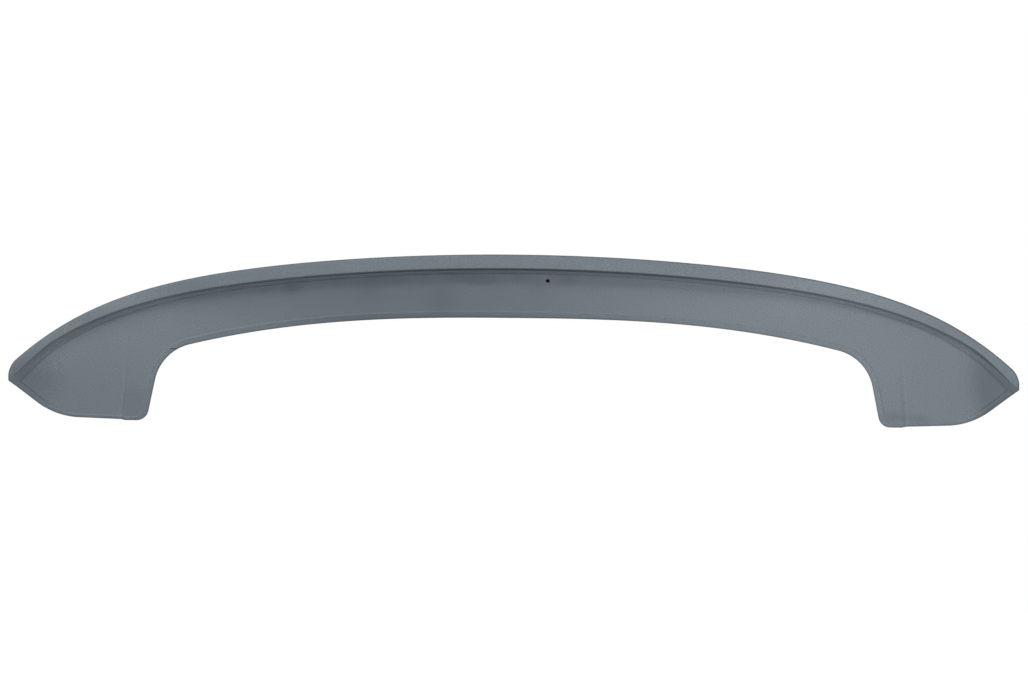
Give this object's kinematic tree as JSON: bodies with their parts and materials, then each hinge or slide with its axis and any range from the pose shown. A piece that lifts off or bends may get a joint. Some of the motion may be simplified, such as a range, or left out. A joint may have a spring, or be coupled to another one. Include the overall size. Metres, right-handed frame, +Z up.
{
  "type": "roof spoiler",
  "caption": "Arched roof spoiler moulded in one piece, with a lip along its crown edge, a foot at each end and a flat rimmed field for bonding to the car.",
  "frame": {"origin": "middle of the flat bonding field, halfway across the car and halfway up the bar", "axes": "+X across the car, to the right in the picture; +Z up through the crown; +Y from the bonding side out through the outer skin"},
  "size_m": [1.162, 0.0408, 0.195],
  "materials": {
    "primed_plastic": "blue-grey sprayed primer, matt, with fine grain"
  },
  "bodies": {
    "root": {"spoiler": "primed_plastic"}
  },
  "joints": []
}
